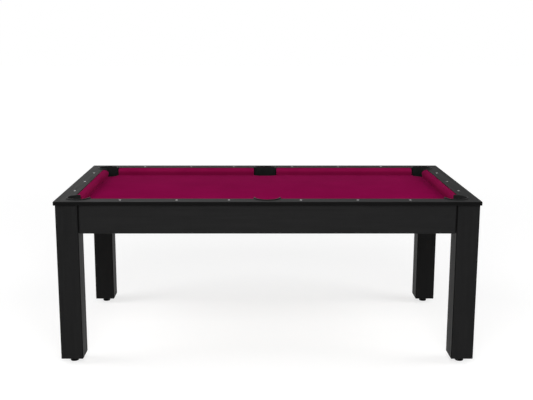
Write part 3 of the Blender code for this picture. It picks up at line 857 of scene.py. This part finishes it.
def add_floor():
    """A pale floor that reads white where nothing shades it, and keeps a soft shadow."""
    bpy.ops.mesh.primitive_plane_add(size=FLOOR_SIZE)
    floor = bpy.context.object
    floor.name = "floor"
    paint = bpy.data.materials.new("floor_paint")
    paint.use_nodes = True
    nodes = paint.node_tree.nodes
    links = paint.node_tree.links
    nodes.clear()
    rays = nodes.new("ShaderNodeLightPath")
    seen = nodes.new("ShaderNodeMath")
    seen.operation = "MAXIMUM"
    links.new(rays.outputs["Is Camera Ray"], seen.inputs[0])
    links.new(rays.outputs["Is Glossy Ray"], seen.inputs[1])
    glow = nodes.new("ShaderNodeEmission")
    distance = nodes.new("ShaderNodeVectorMath")
    distance.operation = "LENGTH"
    links.new(nodes.new("ShaderNodeTexCoord").outputs["Object"], distance.inputs[0])
    fade = nodes.new("ShaderNodeMapRange")
    fade.inputs["From Min"].default_value, fade.inputs["From Max"].default_value = FLOOR_FADE
    fade.inputs["To Min"].default_value = FLOOR_GLOW
    links.new(distance.outputs["Value"], fade.inputs["Value"])
    links.new(fade.outputs["Result"], glow.inputs["Strength"])
    shade = nodes.new("ShaderNodeBsdfDiffuse")
    shade.inputs["Color"].default_value = (FLOOR_SHADE, FLOOR_SHADE, FLOOR_SHADE, 1.0)
    both = nodes.new("ShaderNodeAddShader")
    links.new(glow.outputs[0], both.inputs[0])
    links.new(shade.outputs[0], both.inputs[1])
    pale = nodes.new("ShaderNodeBsdfDiffuse")
    pale.inputs["Color"].default_value = (FLOOR_BOUNCE, FLOOR_BOUNCE, FLOOR_BOUNCE, 1.0)
    mix = nodes.new("ShaderNodeMixShader")
    links.new(seen.outputs[0], mix.inputs[0])
    links.new(pale.outputs[0], mix.inputs[1])
    links.new(both.outputs[0], mix.inputs[2])
    output = nodes.new("ShaderNodeOutputMaterial")
    links.new(mix.outputs[0], output.inputs["Surface"])
    floor.data.materials.append(paint)


def light_world():
    """White where the camera and gloss look past the table, a soft grey light elsewhere."""
    world = bpy.data.worlds.new("studio")
    bpy.context.scene.world = world
    world.use_nodes = True
    nodes = world.node_tree.nodes
    links = world.node_tree.links
    rays = nodes.new("ShaderNodeLightPath")
    direction = nodes.new("ShaderNodeSeparateXYZ")
    links.new(nodes.new("ShaderNodeTexCoord").outputs["Generated"], direction.inputs[0])
    gleam = nodes.new("ShaderNodeMapRange")
    gleam.inputs["From Min"].default_value = -GLEAM_SPREAD
    gleam.inputs["From Max"].default_value = GLEAM_SPREAD
    gleam.inputs["To Min"].default_value = LEFT_GLEAM
    gleam.inputs["To Max"].default_value = RIGHT_GLEAM
    links.new(direction.outputs["X"], gleam.inputs["Value"])
    glossy = nodes.new("ShaderNodeMapRange")
    glossy.inputs["To Min"].default_value = AMBIENT
    links.new(rays.outputs["Is Glossy Ray"], glossy.inputs["Value"])
    links.new(gleam.outputs["Result"], glossy.inputs["To Max"])
    strength = nodes.new("ShaderNodeMapRange")
    strength.inputs["To Max"].default_value = 1.0
    links.new(rays.outputs["Is Camera Ray"], strength.inputs["Value"])
    links.new(glossy.outputs["Result"], strength.inputs["To Min"])
    background = nodes["Background"]
    background.inputs["Color"].default_value = (1.0, 1.0, 1.0, 1.0)
    links.new(strength.outputs["Result"], background.inputs["Strength"])


def add_lamp(name, power, size, place):
    """A soft lamp that lights the table but shows in no reflection."""
    lamp = bpy.data.lights.new(name, "AREA")
    lamp.energy = power
    lamp.shape = "RECTANGLE"
    lamp.size, lamp.size_y = size
    thing = bpy.data.objects.new(name, lamp)
    thing.location = place
    thing.rotation_euler = (Vector(LAMP_AIM) - Vector(place)).to_track_quat("-Z", "Y").to_euler()
    thing.visible_camera = False
    thing.visible_glossy = False
    bpy.context.scene.collection.objects.link(thing)


def add_camera():
    lens = bpy.data.cameras.new("camera")
    lens.lens = LENS
    lens.sensor_width = SENSOR
    lens.shift_x = CAMERA_SHIFT
    camera = bpy.data.objects.new("camera", lens)
    camera.location = CAMERA_PLACE
    camera.rotation_euler = Euler((CAMERA_TILT, 0.0, 0.0))
    bpy.context.scene.collection.objects.link(camera)
    bpy.context.scene.camera = camera


FINISHES = {
    "black_plastic": moulded_plastic(),
    "red_cloth": pool_cloth(),
    # The cushions' cloth is a copy of the red cloth whose green is raised as a painted sheen
    "painted_sheen_cloth": pool_cloth("painted_sheen_cloth", CUSHION_PAINTED_SHEEN_GREEN),
    "bed_board": fibre_board(),
    "beam_wood": softwood(),
    "zinc_steel": zinc_steel(),
    "silver_inlay": turned_aluminium(),
}

add_camera()
light_world()
add_lamp("front", FRONT_POWER, FRONT_SIZE, FRONT_PLACE)
add_lamp("left", LEFT_POWER, SIDE_SIZE, LEFT_PLACE)
add_lamp("right", RIGHT_POWER, SIDE_SIZE, RIGHT_PLACE)
add_lamp("back", BACK_POWER, BACK_SIZE, BACK_PLACE)
add_floor()
finish_solids()
table_pockets = list_pockets()
add_bed_cloth(table_pockets)
add_cushions(table_pockets)
for pocket_name, table_pocket in table_pockets.items():
    add_liner(pocket_name, table_pocket)
add_sights()
for foot_end, foot_side_y in ENDS.items():
    for foot_side, foot_side_x in SIDES.items():
        add_foot(f"{foot_end}_{foot_side}", (FOOT_X * foot_side_x, FOOT_Y * foot_side_y))
        add_plate_fasteners(f"{foot_end}_{foot_side}", foot_side_x, foot_side_y)
bpy.context.scene.view_settings.view_transform = "Standard"
